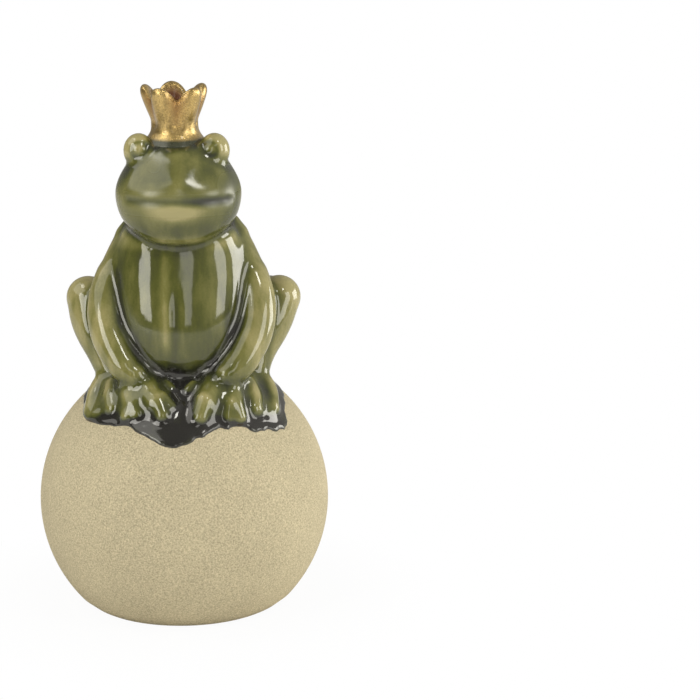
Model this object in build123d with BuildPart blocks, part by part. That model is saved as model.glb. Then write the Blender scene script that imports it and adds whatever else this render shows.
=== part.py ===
from build123d import *
from math import cos, radians, sin
import os

# A crowned frog squatting on a ball, in glazed stoneware. Millimetres.
# +Z is up, the frog faces -Y, and the origin is the centre of the ball's flat foot.
# The frog's own left side is at +X.

# Ball
ball_radius = 50.0
ball_centre_height = 36.0
ball_wall = 4.5
foot_edge_radius = 3.0
foot_recess_radius = 27.0
foot_recess_depth = 1.5
vent_radius = 4.0
vent_reach_share = 0.2

# Clay and joints
clay_wall = 4.0
seat_clearance = 0.3
overrun = 2.0

# Torso
torso_height = 48.0
torso_half_width = 22.0
torso_half_depth = 23.0
collar_radius = 12.0
collar_length = 9.0
collar_bore_radius = 8.0
neck_radius = 8.5
neck_length = 5.0
neck_bore_radius = 5.0
bore_reach_share = 0.5

# Head
head_height = 34.5
head_half_width = 21.3
head_half_depth = 19.3
chin_drop = 6.5
mouth_gape = 0.8
mouth_depth = 1.2
neck_hole_share = 0.33

# Eyes
eye_radius = 5.2
eye_half_height = 5.8
eye_spacing = 26.0
eye_reach = 8.0
eye_drop = 3.0
pupil_radius = 2.4
pupil_turn_in = 0.9
pupil_reach = 3.2
pupil_lift = 1.2

# Crown
crown_height = 19.4
crown_radius = 11.4
crown_wall = 1.7
crown_side = -0.5
crown_reach = 2.5
crown_sink = 1.0
crown_valley_depth = 4.0
crown_point_count = 5
crown_first_point = -28.0

# Arms
arm_radius = 5.8
shoulder_half_width = 18.0
shoulder_drop = 1.0
elbow_bow = 11.0
elbow_set_back = 4.2
wrist_polar = 32.0
wrist_azimuth = 27.8
wrist_height = 6.6

# Legs
thigh_radius = 11.0
knee_radius = 7.0
ankle_radius = 4.2
hip_half_width = 15.0
hip_set_back = 14.0
hip_height = 5.0
knee_half_width = 33.3
knee_set_back = 4.5
knee_height = 20.3
thigh_bow = 3.0
ankle_polar = 30.6
ankle_azimuth = 79.0
ankle_height = 1.5

# Digits on the ball
finger_radius = 2.8
toe_radius = 3.1
palm_radius = 6.6
palm_half_thickness = 4.4
foot_pad_radius = 7.4
foot_pad_half_thickness = 4.6
digit_turn = 3.5

# Glaze that ran onto the ball
glaze_thickness = 0.8

# Heights that follow from these
ball_top = ball_centre_height + ball_radius
torso_top = ball_top + torso_height
head_bottom = torso_top - chin_drop
head_top = head_bottom + head_height

# Shares of the torso: height, half-width, reach to the front, reach to the back
torso_shares = (
    (-0.21, 0.50, 0.46, 0.80),
    (-0.11, 0.62, 0.58, 0.92),
    (0.00, 0.76, 0.75, 1.00),
    (0.13, 0.92, 0.92, 1.02),
    (0.29, 1.01, 1.01, 0.98),
    (0.47, 1.03, 1.01, 0.89),
    (0.65, 1.02, 0.92, 0.80),
    (0.81, 0.99, 0.77, 0.72),
    (0.92, 0.89, 0.62, 0.62),
    (1.00, 0.70, 0.48, 0.49),
)

# Shares of the head: height, how far forward its centre is, half-width, reach to front and back
head_shares = (
    (0.00, 0.58, 0.33, 0.30, 0.32),
    (0.06, 0.52, 0.60, 0.53, 0.58),
    (0.16, 0.42, 0.82, 0.75, 0.78),
    (0.31, 0.34, 0.95, 0.92, 0.91),
    (0.48, 0.31, 1.00, 1.00, 0.94),
    (0.64, 0.28, 0.93, 0.89, 0.88),
    (0.80, 0.23, 0.79, 0.73, 0.75),
    (0.93, 0.18, 0.58, 0.54, 0.57),
    (1.00, 0.13, 0.38, 0.37, 0.39),
)

# Shares along a limb: how far along, how much of its bow, and of its radius
arm_shares = (
    (0.00, 0.00, 0.68),
    (0.10, 0.16, 0.78),
    (0.21, 0.36, 0.86),
    (0.35, 0.66, 0.94),
    (0.50, 0.95, 0.98),
    (0.66, 1.00, 1.00),
    (0.82, 0.73, 1.00),
    (0.93, 0.30, 0.94),
    (1.00, 0.00, 0.72),
)
thigh_shares = ((0.00, 0.00, 1.00), (0.35, 0.70, 1.00), (0.70, 0.80, 0.86))
shin_shares = ((0.00, 0.00, 0.96), (0.30, 0.00, 0.84), (0.65, 0.00, 0.68))

# Shares along a digit: how far along, its radius, and its centre's height in radii
digit_shares = ((0.00, 0.90, 1.10), (0.35, 1.00, 0.85), (0.70, 0.88, 0.55), (1.00, 0.92, 0.35))

# Directions on the ball, as polar and azimuth angles: each digit's root and tip
finger_directions = (
    ((29.0, 41.0), (45.3, 32.6)),
    ((28.0, 35.0), (43.1, 25.6)),
    ((26.5, 29.0), (39.8, 19.0)),
    ((25.5, 23.0), (43.2, 9.8)),
    ((26.5, 24.0), (27.0, 7.6)),
)
toe_directions = (
    ((31.0, 66.0), (44.6, 70.5)),
    ((31.0, 58.0), (42.0, 46.5)),
)
palm_direction = (28.0, 33.0)
foot_pad_direction = (31.5, 64.0)

# The glaze pool's edge, as polar and azimuth angles, clockwise from the front
pool_edge_directions = (
    (55.4, 0.0), (52.4, 12.0), (50.0, 24.0), (48.0, 33.0), (53.0, 42.0), (54.6, 58.0),
    (50.0, 76.0), (44.0, 96.0), (40.0, 118.0), (43.0, 142.0), (40.5, 165.0), (42.5, 188.0),
    (40.0, 212.0), (43.0, 236.0), (41.5, 260.0), (45.5, 280.0), (49.0, 297.0), (50.5, 316.0),
    (50.5, 330.0), (50.6, 342.0), (54.0, 352.0),
)

# Shares of the crown's profile: outer radius and height, then inner, foot to point
crown_outer_shares = ((0.86, 0.00), (0.75, 0.24), (0.84, 0.50), (1.00, 0.81), (0.96, 0.96))
crown_floor_share = 0.25

outline_point_count = 12
outline_angles = [radians(360 * step / outline_point_count) for step in range(outline_point_count)]
sides = (("left", 1), ("right", -1))


def egg_outline(centre, half_width, front, back):
    """Draw a level outline with its own reach to the front and to the back."""
    points = []
    for angle in outline_angles:
        reach = back if sin(angle) > 0 else front
        points.append((half_width * cos(angle), reach * sin(angle)))
    with BuildSketch(Plane(centre)) as outline:
        with BuildLine():
            Spline(*points, periodic=True)
        make_face()
    return outline.sketch


def torso_outlines(shares, inset=0):
    """Draw the torso's level outlines, drawn in by a wall."""
    return [
        egg_outline(
            (0, 0, ball_top + torso_height * height),
            torso_half_width * width - inset,
            torso_half_depth * front - inset,
            torso_half_depth * back - inset,
        )
        for height, width, front, back in shares
    ]


def head_outlines(shares, inset=0):
    """Draw the head's level outlines, drawn in by a wall."""
    return [
        egg_outline(
            (0, -head_half_depth * forward, head_bottom + head_height * height),
            head_half_width * width - inset,
            head_half_depth * front - inset,
            head_half_depth * back - inset,
        )
        for height, forward, width, front, back in shares
    ]


def ball_point(direction, height, side=1, turn=0):
    """A point above the ball's surface, in a direction from the ball's centre."""
    polar, azimuth = radians(direction[0]), radians(direction[1] * side + turn)
    reach = ball_radius + height
    return Vector(
        reach * sin(polar) * sin(azimuth),
        -reach * sin(polar) * cos(azimuth),
        ball_centre_height + reach * cos(polar),
    )


def round_tube(points, radii):
    """Loft a limb through round sections that stand square to its path."""
    sections = []
    for index, point in enumerate(points):
        before = points[max(index - 1, 0)]
        after = points[min(index + 1, len(points) - 1)]
        with BuildSketch(Plane(origin=point, x_dir=(1, 0, 0), z_dir=after - before)) as section:
            Circle(radii[index])
        sections.append(section.sketch)
    loft(sections)


def bowed_points(start, end, bow, shares):
    """Points along a limb from start to end, set off by shares of its bow."""
    return [start + (end - start) * way + bow * bowed for way, bowed, _ in shares]


def digit(root, tip, radius, side):
    """Lay a finger or toe on the ball from its root to a round tip."""
    points = []
    for way, _, lift in digit_shares:
        direction = [start + (end - start) * way for start, end in zip(root, tip)]
        points.append(ball_point(direction, radius * lift, side, digit_turn))
    round_tube(points, [radius * share for _, share, _ in digit_shares])
    with Locations(points[-1]):
        Sphere(radius * digit_shares[-1][1])


def flat_pad(direction, radius, half_thickness, side):
    """Lay a round pad, thick in its middle, on the ball."""
    middle = ball_point(direction, 0, side, digit_turn)
    outward = middle - Vector(0, 0, ball_centre_height)
    upright = Plane(origin=middle, x_dir=outward, z_dir=outward.cross(Vector(1, 0, 0)))
    with BuildSketch(upright) as half:
        Ellipse(half_thickness, radius)
        with Locations((0, -radius)):
            Rectangle(2 * radius, 2 * radius, mode=Mode.SUBTRACT)
    revolve(half.sketch, axis=Axis(middle, outward))


def finish(piece, name):
    """Label a piece and write its file."""
    piece.part.label = name
    export_step(piece.part, f"parts/{name}.step")


os.makedirs("parts", exist_ok=True)

# Outer forms, which the neighbouring pieces are cut to
with BuildPart() as ball_form:
    with Locations((0, 0, ball_centre_height)):
        Sphere(ball_radius)

with BuildPart() as torso_form:
    loft(torso_outlines(torso_shares))

with BuildPart() as head_form:
    loft(head_outlines(head_shares))

arm_forms = {}
thigh_forms = {}
shin_forms = {}
for name, side in sides:
    shoulder = Vector(side * shoulder_half_width, shoulder_drop, torso_top - shoulder_drop)
    wrist = ball_point((wrist_polar, wrist_azimuth), wrist_height, side)
    elbow = Vector(side * elbow_bow, elbow_set_back, 0)
    hip = Vector(side * hip_half_width, hip_set_back, ball_top + hip_height)
    knee = Vector(side * knee_half_width, knee_set_back, ball_top + knee_height)
    ankle = ball_point((ankle_polar, ankle_azimuth), ankle_height, side)

    with BuildPart() as arm_form:
        round_tube(bowed_points(shoulder, wrist, elbow, arm_shares), [arm_radius * s[2] for s in arm_shares])
        with Locations(shoulder):
            Sphere(arm_radius * arm_shares[0][2])
        with Locations(wrist):
            Sphere(arm_radius * arm_shares[-1][2])
    arm_forms[name] = arm_form

    with BuildPart() as thigh_form:
        points = bowed_points(hip, knee, Vector(0, 0, thigh_bow), thigh_shares) + [knee]
        round_tube(points, [thigh_radius * s[2] for s in thigh_shares] + [knee_radius])
        with Locations(hip):
            Sphere(thigh_radius)
        with Locations(knee):
            Sphere(knee_radius)
    thigh_forms[name] = thigh_form

    with BuildPart() as shin_form:
        points = bowed_points(knee, ankle, Vector(0, 0, 0), shin_shares) + [ankle]
        round_tube(points, [knee_radius * s[2] for s in shin_shares] + [ankle_radius])
        with Locations(ankle):
            Sphere(ankle_radius)
    shin_forms[name] = shin_form

# Ball: hollow, with a flat recessed foot, a vent hole and an opening for the torso's collar
with BuildPart() as ball_cavity:
    with Locations((0, 0, ball_centre_height)):
        Sphere(ball_radius - ball_wall)
    split(bisect_by=Plane.XY.offset(foot_recess_depth + ball_wall), keep=Keep.TOP)

with BuildPart() as ball_base:
    with Locations((0, 0, ball_centre_height)):
        Sphere(ball_radius)
    split(bisect_by=Plane.XY, keep=Keep.TOP)
    fillet(ball_base.edges().sort_by(Axis.Z)[0], foot_edge_radius)
    add(ball_cavity.part, mode=Mode.SUBTRACT)
    with BuildSketch(Plane.XY.offset(-overrun)):
        Circle(foot_recess_radius)
    extrude(amount=overrun + foot_recess_depth, mode=Mode.SUBTRACT)
    with BuildSketch(Plane.XY):
        Circle(vent_radius)
    extrude(amount=ball_radius * vent_reach_share, mode=Mode.SUBTRACT)
    with BuildSketch(Plane.XY.offset(ball_centre_height)):
        Circle(collar_radius + seat_clearance)
    extrude(amount=ball_radius + overrun, mode=Mode.SUBTRACT)
finish(ball_base, "ball_base")

# Torso: hollow, with its collar in the ball and its neck in the head
with BuildPart() as torso_cavity:
    loft(torso_outlines(torso_shares[3:-1], clay_wall))

with BuildPart() as torso:
    add(torso_form.part)
    add(ball_form.part, mode=Mode.SUBTRACT)
    with BuildSketch(Plane.XY.offset(ball_top - collar_length)):
        Circle(collar_radius)
    extrude(amount=collar_length)
    with BuildSketch(Plane.XY.offset(torso_top)):
        Circle(neck_radius)
    extrude(amount=neck_length)
    add(torso_cavity.part, mode=Mode.SUBTRACT)
    with BuildSketch(Plane.XY.offset(ball_top - collar_length)):
        Circle(collar_bore_radius)
    extrude(amount=torso_height * bore_reach_share, mode=Mode.SUBTRACT)
    with BuildSketch(Plane.XY.offset(torso_top + neck_length)):
        Circle(neck_bore_radius)
    extrude(amount=-torso_height * bore_reach_share, mode=Mode.SUBTRACT)
finish(torso, "torso")

# Head: hollow, open at the neck, with the mouth as a groove round its front
with BuildPart() as head_cavity:
    loft(head_outlines(head_shares[3:-2], clay_wall))

mouth_share = head_shares[4]
mouth_height = head_bottom + head_height * mouth_share[0]
mouth_centre = -head_half_depth * mouth_share[1]
with BuildPart() as head:
    add(head_form.part)
    add(torso_form.part, mode=Mode.SUBTRACT)
    add(head_cavity.part, mode=Mode.SUBTRACT)
    with BuildSketch(Plane.XY.offset(torso_top)):
        Circle(neck_radius + seat_clearance)
    extrude(amount=head_height * neck_hole_share, mode=Mode.SUBTRACT)
    with BuildSketch(Plane((0, mouth_centre, mouth_height - mouth_gape / 2))):
        Ellipse(head_half_width + overrun, head_half_depth + overrun)
        Ellipse(head_half_width - mouth_depth, head_half_depth - mouth_depth, mode=Mode.SUBTRACT)
        with Locations((0, head_half_depth / 2)):
            Rectangle(3 * head_half_width, 2 * head_half_depth, mode=Mode.SUBTRACT)
    extrude(amount=mouth_gape, mode=Mode.SUBTRACT)
finish(head, "head")

# Crown: a flared cup on top of the head, its rim cut into round points
crown_foot = head_top - crown_sink
crown_floor = crown_height * crown_floor_share
crown_axis = Axis((crown_side, -crown_reach, crown_foot), (0, 0, 1))
outer_points = [(crown_radius * out, crown_height * up) for out, up in crown_outer_shares]
inner_points = [(out - crown_wall, up) for out, up in outer_points[:0:-1]]
rim_middle = ((outer_points[-1][0] + inner_points[0][0]) / 2, crown_height)
with BuildPart() as crown:
    with BuildSketch(Plane(crown_axis.position, x_dir=(1, 0, 0), z_dir=(0, -1, 0))):
        with BuildLine():
            Spline(*outer_points)
            ThreePointArc(outer_points[-1], rim_middle, inner_points[0])
            Spline(*inner_points)
            Polyline(inner_points[-1], (0, crown_floor), (0, 0), outer_points[0])
        make_face()
    revolve(axis=crown_axis)
    half_gap = crown_radius * sin(radians(180 / crown_point_count))
    for index in range(crown_point_count):
        turn = radians(crown_first_point + (index + 0.5) * 360 / crown_point_count)
        outward = Vector(sin(turn), -cos(turn), 0)
        rim = Plane(
            crown_axis.position + Vector(0, 0, crown_height),
            x_dir=(cos(turn), sin(turn), 0),
            z_dir=outward,
        )
        with BuildSketch(rim):
            with BuildLine():
                Spline(
                    (-half_gap, 0),
                    (-half_gap / 2, -crown_valley_depth / 2),
                    (0, -crown_valley_depth),
                    (half_gap / 2, -crown_valley_depth / 2),
                    (half_gap, 0),
                    tangents=((1, 0), (1, 0)),
                )
                Polyline((half_gap, 0), (half_gap, overrun), (-half_gap, overrun), (-half_gap, 0))
            make_face()
        extrude(amount=crown_radius + overrun, mode=Mode.SUBTRACT)
    add(head_form.part, mode=Mode.SUBTRACT)
finish(crown, "crown")

# Eyes: domes on the head's shoulders, each with a raised pupil
for name, side in sides:
    eye_centre = Vector(side * eye_spacing / 2, -eye_reach, head_top - eye_drop)
    pupil_centre = eye_centre + Vector(-side * pupil_turn_in, -pupil_reach, pupil_lift)
    with BuildPart() as eye:
        with BuildSketch(Plane(eye_centre, x_dir=(1, 0, 0), z_dir=(0, -1, 0))):
            Ellipse(eye_radius, eye_half_height)
            with Locations((-eye_radius, 0)):
                Rectangle(2 * eye_radius, 2 * eye_half_height, mode=Mode.SUBTRACT)
        revolve(axis=Axis(eye_centre, (0, 0, 1)))
        with Locations(pupil_centre):
            Sphere(pupil_radius)
        add(head_form.part, mode=Mode.SUBTRACT)
        add(crown.part, mode=Mode.SUBTRACT)
    finish(eye, f"{name}_eye")

# Limbs, each cut to the larger pieces that it is luted to
resting = [torso_form.part]
for name, side in sides:
    arm_form = arm_forms[name]
    thigh_form = thigh_forms[name]
    shin_form = shin_forms[name]

    with BuildPart() as arm:
        add(arm_form.part)
        for neighbour in (torso_form, head_form, ball_form):
            add(neighbour.part, mode=Mode.SUBTRACT)
    finish(arm, f"{name}_arm")

    with BuildPart() as thigh:
        add(thigh_form.part)
        for neighbour in (torso_form, arm_form, ball_form):
            add(neighbour.part, mode=Mode.SUBTRACT)
    finish(thigh, f"{name}_thigh")

    with BuildPart() as shin:
        add(shin_form.part)
        for neighbour in (thigh_form, torso_form, arm_form, ball_form):
            add(neighbour.part, mode=Mode.SUBTRACT)
    finish(shin, f"{name}_shin")

    with BuildPart() as hand:
        for root, tip in finger_directions:
            digit(root, tip, finger_radius, side)
        flat_pad(palm_direction, palm_radius, palm_half_thickness, side)
        for neighbour in (arm_form, torso_form, ball_form):
            add(neighbour.part, mode=Mode.SUBTRACT)
    finish(hand, f"{name}_hand")

    with BuildPart() as foot:
        for root, tip in toe_directions:
            digit(root, tip, toe_radius, side)
        flat_pad(foot_pad_direction, foot_pad_radius, foot_pad_half_thickness, side)
        for neighbour in (hand, shin_form, thigh_form, arm_form, torso_form, ball_form):
            add(neighbour.part, mode=Mode.SUBTRACT)
    finish(foot, f"{name}_foot")
    resting += [thigh.part, shin.part, hand.part, foot.part]

# Glaze run: a thin skin on the ball round everything that rests there, with a ragged edge
with BuildPart() as glaze_run:
    edge_points = []
    for polar, azimuth in pool_edge_directions:
        reach = ball_radius * sin(radians(polar))
        edge_points.append((reach * sin(radians(azimuth)), -reach * cos(radians(azimuth))))
    with BuildSketch(Plane.XY.offset(ball_centre_height)):
        with BuildLine():
            Spline(*edge_points, periodic=True)
        make_face()
    extrude(amount=ball_radius + overrun)
    with Locations((0, 0, ball_centre_height)):
        Sphere(ball_radius + glaze_thickness, mode=Mode.INTERSECT)
    add(ball_form.part, mode=Mode.SUBTRACT)
    for neighbour in resting:
        add(neighbour, mode=Mode.SUBTRACT)

# Glaze pool: the run without the specks of glaze that are shut in between two fingers
with BuildPart() as glaze_pool:
    add(glaze_run.part.solids().sort_by(SortBy.VOLUME)[-1])
finish(glaze_pool, "glaze_pool")
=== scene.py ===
"""A crowned frog squatting on a ball, in glossy green glaze over clay, on a bare stoneware ball."""

import math

import bmesh
import bpy
import numpy as np
from bpy.props import FloatProperty, FloatVectorProperty, IntProperty, PointerProperty
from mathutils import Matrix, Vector
from mathutils.bvhtree import BVHTree


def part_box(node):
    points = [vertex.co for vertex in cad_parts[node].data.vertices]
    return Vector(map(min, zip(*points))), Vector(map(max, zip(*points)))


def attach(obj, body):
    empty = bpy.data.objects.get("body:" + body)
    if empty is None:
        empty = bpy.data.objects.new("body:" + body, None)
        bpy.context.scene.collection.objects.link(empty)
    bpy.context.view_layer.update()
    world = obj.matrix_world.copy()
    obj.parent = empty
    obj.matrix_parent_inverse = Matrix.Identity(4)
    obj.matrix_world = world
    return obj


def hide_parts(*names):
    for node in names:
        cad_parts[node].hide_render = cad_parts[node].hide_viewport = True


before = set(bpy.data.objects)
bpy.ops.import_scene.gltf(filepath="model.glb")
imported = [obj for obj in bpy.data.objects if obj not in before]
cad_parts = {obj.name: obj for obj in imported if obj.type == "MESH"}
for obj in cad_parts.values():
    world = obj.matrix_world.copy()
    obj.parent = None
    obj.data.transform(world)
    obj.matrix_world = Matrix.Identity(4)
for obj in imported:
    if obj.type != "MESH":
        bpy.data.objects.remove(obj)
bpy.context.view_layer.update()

bl_info = {
    "name": "Crowned frog on a ball",
    "version": (1, 0, 0),
    "blender": (4, 5, 0),
    "location": "View3D > Sidebar > Frog",
    "description": "Models a glazed clay frog that squats on a stoneware ball",
    "category": "Add Mesh",
}

MM = 0.001
SIDES = (("left", 1), ("right", -1))

# The ball: its width in the frame, rounded because a mesh lies a little inside its circle, and its middle
# in mm above the ground
BALL_LOW, BALL_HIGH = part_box("ball_base")
BALL_RADIUS = round((BALL_HIGH.x - BALL_LOW.x) / 2, 4)
BALL_MIDDLE = 36.0
BALL_CENTRE = Vector((0, 0, BALL_MIDDLE * MM))

# The camera, fitted to the photograph: its place, its turn and its lens
CAMERA_PLACE = (0.03757, -0.76929, 0.27975)
CAMERA_TURN = (math.radians(76), 0, math.radians(-1.5))
CAMERA_LENS = 118.29
SENSOR_WIDTH = 36

# Torso outlines from the ball up: height, middle, half-width and half-depth in mm
TORSO_RINGS = (
    (77.0, 5.0, 11.0, 13.5),
    (81.0, 2.7, 14.5, 17.8),
    (84.0, 1.2, 17.2, 20.4),
    (87.0, 0.1, 19.2, 22.2),
    (91.0, -0.5, 20.9, 23.2),
    (97.0, -0.8, 22.2, 23.5),
    (103.0, -0.8, 22.8, 23.0),
    (110.0, -0.9, 23.0, 21.5),
    (117.0, -0.9, 22.8, 19.5),
    (124.0, -0.9, 22.2, 17.6),
    (129.0, -0.6, 20.8, 16.6),
    (133.0, -0.2, 18.0, 15.6),
    (136.5, 0.3, 13.5, 12.3),
    (138.5, 0.6, 9.0, 7.5),
)
TORSO_SQUARENESS = 2.5

# Forms of clay: their turns and rings, the steps that their outline is read in and blurred over, and how fast
# their poles close. Then the turns and rings of a lump, and the steps of a rolled limb.
FORM_TURNS, FORM_RINGS = 96, 64
RING_STEPS = 400
RING_BLUR = 29
POLE_CLOSING = 30
LUMP_TURNS, LUMP_RINGS = 40, 24
LIMB_STEPS = 10

# Head outlines from the chin up: height, middle, half-width and half-depth in mm
HEAD_RINGS = (
    (128.0, -10.5, 8.0, 7.0),
    (129.6, -10.0, 12.2, 10.8),
    (132.5, -8.4, 16.3, 14.0),
    (137.0, -7.0, 19.8, 17.0),
    (142.0, -6.6, 21.1, 18.6),
    (146.0, -6.4, 21.2, 18.4),
    (150.0, -6.0, 19.8, 16.9),
    (154.5, -5.0, 17.0, 14.4),
    (158.5, -4.0, 14.4, 11.6),
    (161.5, -3.0, 10.8, 8.8),
    (163.0, -2.5, 6.5, 6.0),
)
HEAD_SQUARENESS = 2.15

# Limbs: points on the frog's left side and radii, in mm
ARM_STATIONS = (
    ((15.5, 2.6, 131.0), 4.8),
    ((18.1, 1.2, 127.0), 5.4),
    ((20.6, -1.0, 121.5), 5.8),
    ((23.4, -4.6, 115.5), 5.9),
    ((25.5, -8.8, 108.5), 6.1),
    ((25.3, -13.3, 100.5), 6.2),
    ((22.2, -17.8, 92.9), 6.0),
    ((18.2, -21.6, 87.3), 5.3),
    ((15.6, -22.9, 85.2), 4.6),
)
THIGH_STATIONS = (
    ((15.0, 14.0, 91.0), 11.0),
    ((22.5, 11.5, 98.0), 10.8),
    ((28.5, 8.0, 103.5), 9.4),
    ((32.8, 4.3, 106.0), 7.5),
)
SHIN_STATIONS = (
    ((32.6, 3.8, 105.6), 7.5),
    ((30.2, 0.2, 98.0), 7.4),
    ((25.5, -4.0, 88.5), 6.6),
    ((22.6, -7.5, 80.5), 6.2),
)
LIMB_SHIFT = 0.6
# The shins sway to the frog's right: how far, at what height and over what height
SHIN_SWAY = 1.6
SWAY_HEIGHT = 93
SWAY_SPREAD = 5

# Digits on the ball: points as polar and azimuth degrees, then radii in mm. Each finger forks into soft tips.
LEFT_FINGERS = (
    (((27.0, 28.5), (32.0, 23.5), (36.5, 18.5)), (4.2, 4.5, 4.6)),
    (((36.5, 16.5), (42.2, 12.2)), (3.6, 3.2)),
    (((36.5, 19.5), (40.2, 20.2)), (3.0, 2.6)),
    (((30.5, 37.5), (35.0, 35.0), (39.5, 32.2)), (4.2, 4.4, 4.4)),
    (((39.0, 31.0), (43.0, 28.6)), (3.4, 3.0)),
    (((39.0, 33.5), (44.2, 33.8)), (3.4, 3.1)),
    (((27.2, 11.4), (29.6, 6.8)), (2.1, 2.3)),
)
RIGHT_FINGERS = (
    (((29.0, -38.5), (34.0, -34.0), (37.6, -30.2)), (4.2, 4.3, 4.2)),
    (((36.5, -31.0), (42.8, -30.2)), (3.0, 2.7)),
    (((36.5, -28.5), (41.4, -24.4)), (3.1, 2.7)),
    (((27.0, -27.5), (32.0, -21.5), (36.0, -15.8)), (4.2, 4.5, 4.5)),
    (((35.0, -17.5), (39.0, -17.0)), (3.0, 2.5)),
    (((35.5, -14.5), (41.2, -9.0)), (3.4, 3.0)),
    (((34.5, -12.0), (37.6, -5.2)), (3.0, 2.6)),
    (((26.4, -11.4), (28.4, -6.8)), (2.1, 2.3)),
)
LEFT_TOES = (
    (((31.0, 55.0), (37.0, 50.0), (42.4, 46.0)), (3.4, 3.8, 3.6)),
    (((31.0, 74.0), (38.0, 67.0), (44.0, 60.0)), (3.8, 3.8, 3.2)),
)
RIGHT_TOES = (
    (((32.0, -55.0), (36.5, -48.5), (40.8, -42.5)), (3.1, 3.4, 3.2)),
    (((31.0, -72.0), (38.0, -65.0), (43.8, -59.0)), (3.6, 3.4, 2.8)),
)
ROOT_LIFT = 0.58
TIP_LIFT = 0.12

# Webs of clay between the digits: polar, azimuth on the frog's left, radius and thickness
HAND_WEBS = ((28.0, 32.0, 6.6, 4.2), (35.5, 25.5, 6.5, 1.7))
FOOT_WEBS = ((31.5, 66.0, 6.6, 4.4), (39.0, 56.0, 8.6, 2.5))

# Eyes and their pupils, by side, in mm
EYE_PLACES = {1: (12.3, -8.0, 158.8), -1: (-12.9, -8.0, 158.8)}
EYE_RADIUS = 5.2
EYE_TALLNESS = 1.14
PUPIL_PLACES = {1: (11.0, -10.9, 159.4), -1: (-12.4, -11.1, 159.4)}
PUPIL_RADIUS = 2.3

# Mouth, in mm
MOUTH_MIDDLE = 0.7
MOUTH_HALF_WIDTH = 19.0
MOUTH_CORNER = 3.0
MOUTH_HEIGHT = 144.0
MOUTH_DEPTH = 0.6
LIP_RISE = 0.05

# A zone of the skin is a product of soft edges and soft bumps. An edge is one of skin_measures, and where the
# zone starts and is full along it. A bump is one of them too, where it peaks and how wide it is. All in mm,
# but for "up", which is how far the skin faces up.
MOUTH_EDGES = (("mouth", MOUTH_HALF_WIDTH, MOUTH_HALF_WIDTH - MOUTH_CORNER), ("y", -5, -9))
HEAD_FRONT = (("z", 132, 136), ("y", -8, -13))
FACE = (("y", -4, -8),)
WIDE_FACE = (("y", -4, -9),)
PUPIL_RING = ("pupil", PUPIL_RADIUS + 0.7, 0.6)

# Zones that are pressed in or raised: height in mm, edges and bumps
SCULPTED_ZONES = (
    ("mouth", -MOUTH_DEPTH, MOUTH_EDGES, (("z", MOUTH_HEIGHT, 1.4),)),
    ("upper lip", LIP_RISE, MOUTH_EDGES, (("z", MOUTH_HEIGHT + 3.0, 1.9),)),
    ("lower lip", 0.7 * LIP_RISE, MOUTH_EDGES, (("z", MOUTH_HEIGHT - 3.0, 1.9),)),
    ("snout", 0.35, HEAD_FRONT + (("z", 146, 150), ("z", 162, 157)), (("x", 0.5, 3.4),)),
    ("hollow under the left eye", -0.45, HEAD_FRONT, (("x", 9.5, 5.0), ("z", 152.0, 3.6))),
    ("hollow under the right eye", -0.45, HEAD_FRONT, (("x", -9.5, 5.0), ("z", 152.0, 3.6))),
    ("belly's groove", -0.25, (("y", -9, -14), ("z", 88, 94), ("z", 118, 106)), (("x", -1.0, 1.5),)),
    ("pupils' grooves", -0.20, (("eye", 6.4, 5.6),), (PUPIL_RING,)),
)

# Zones that are melted smooth: rounds of smoothing, how far they follow it, and edges
MELTED_ZONES = (
    ("digits", 16, 0.8, (("reach", 60, 57), ("reach", 50.6, 51.6), ("y", -10, -16))),
    ("shoulders", 170, 1.0, (("z", 117.5, 121.5), ("z", 131, 127.5), ("side", 9, 13))),
    ("belly's foot", 140, 1.0, (("z", 90.5, 87), ("y", -21.5, -19), ("y", -4, -8), ("side", 16, 12))),
)

# Zones where the glaze is thicker or thinner than elsewhere, and zones whose change of depth paints shade,
# light or a reflection: change of depth, edges and bumps
OPEN_DEPTH = 0.58
GLAZE_ZONES = (
    # Painted shade: the colour is darker wherever the skin faces down
    ("undersides", 0.10, (("up", -0.05, -0.8),), ()),
    # Painted light: the colour is a little lighter wherever the skin faces up
    ("tops", -0.04, (("up", 0.3, 0.95),), ()),
    ("foot of the frog", 0.06, (("z", 96, 86),), ()),
    ("pool on the ball", 0.50, (("reach", 52.1, 50.9),), ()),
    ("round the crown", 0.30, (("crown", 13.5, 11.0), ("z", 156, 159)), ()),
    ("eyes", -0.17, (("eye", 7.4, 5.6),), ()),
    ("round the pupils", 0.30, (("eye", 7.4, 5.6),), (PUPIL_RING,)),
    ("limbs", -0.17, (("side", 19, 25), ("reach", 53, 57)), ()),
    ("digits", -0.16, (("z", 85, 81), ("reach", 53.2, 55.4)), ()),
    # Painted sheen: the frog's right foot is made lighter, standing in for a milky reflection on its glaze
    ("right foot", -0.12, (("x", -23, -27), ("z", 84, 80)), ()),
    ("temples", 0.28, FACE + (("side", 14.5, 18.5),), (("z", 153.0, 4.5),)),
    # Painted reflection: the skin under the mouth is made much paler, standing in for the windows' reflection
    # on the lower lip
    ("under the mouth", -0.56, FACE, (("z", MOUTH_HEIGHT - 3.8, 2.8), ("x", 0.5, 8.0))),
    ("chin", 0.08, FACE, (("z", 134.0, 3.0), ("x", 0.5, 9.0))),
    ("throat", -0.22, FACE + (("z", 125, 128), ("z", 133, 130)), ()),
    ("left half of the mouth", 0.32, FACE, (("z", MOUTH_HEIGHT + 0.3, 1.8), ("x", 9.5, 6.0))),
    ("left cheek", 0.12, FACE + (("x", 11, 15.5), ("z", 133, 137), ("z", 152, 148)), ()),
    # A lighter streak down the belly: partly a glaze run, partly a painted reflection of a window
    ("belly's pale streak", -0.26, (("y", -12, -16), ("z", 92, 98), ("z", 129, 124)), (("x", -4.4, 1.4),)),
    ("belly's groove", 0.10, (("y", -14, -20), ("z", 128, 110)), (("x", -1.0, 2.2),)),
)

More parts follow.
